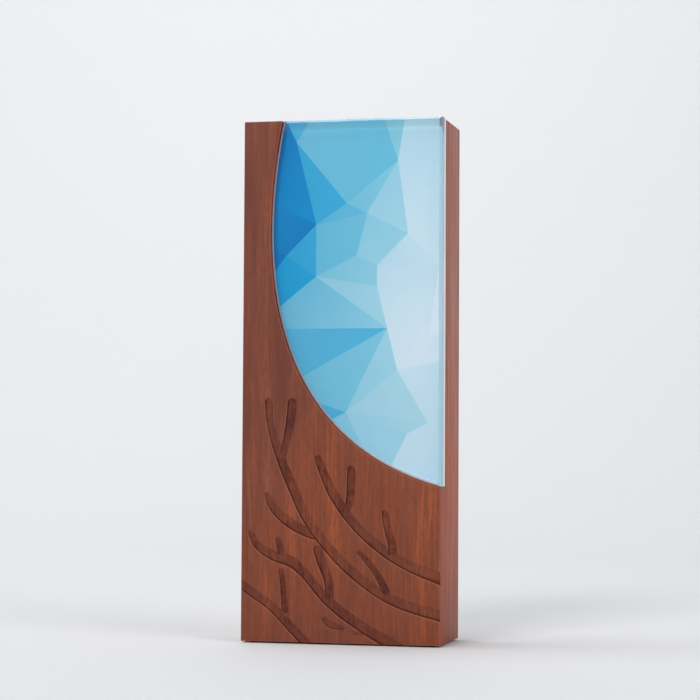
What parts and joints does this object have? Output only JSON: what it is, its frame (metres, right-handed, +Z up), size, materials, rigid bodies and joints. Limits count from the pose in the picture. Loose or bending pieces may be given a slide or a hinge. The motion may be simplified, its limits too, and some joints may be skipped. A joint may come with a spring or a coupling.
{
  "type": "wooden desk award",
  "caption": "Free-standing hardwood award block with a clear, blue faceted panel set into a curved corner and carved branching grooves below it.",
  "frame": {"origin": "middle of the footprint, on the underside of the felt pad, which is the surface that the award stands on", "axes": "+Z up along the block's height, +X to the right across the front, +Y from the front to the back; the front faces -Y"},
  "size_m": [0.097, 0.0454, 0.25],
  "materials": {
    "hardwood": "satin, oiled, straight vertical grain",
    "clear_acrylic": "clear, polished edges",
    "printed_film": "printed blue facets",
    "white_acrylic": "opal white",
    "tape": "foam tape",
    "felt": "black felt"
  },
  "bodies": {
    "root": {"wood_block": "hardwood", "acrylic_panel": "clear_acrylic", "printed_film": "printed_film", "white_backer": "white_acrylic", "mounting_tape_upper": "tape", "mounting_tape_middle": "tape", "mounting_tape_lower": "tape", "felt_pad": "felt"}
  },
  "joints": []
}
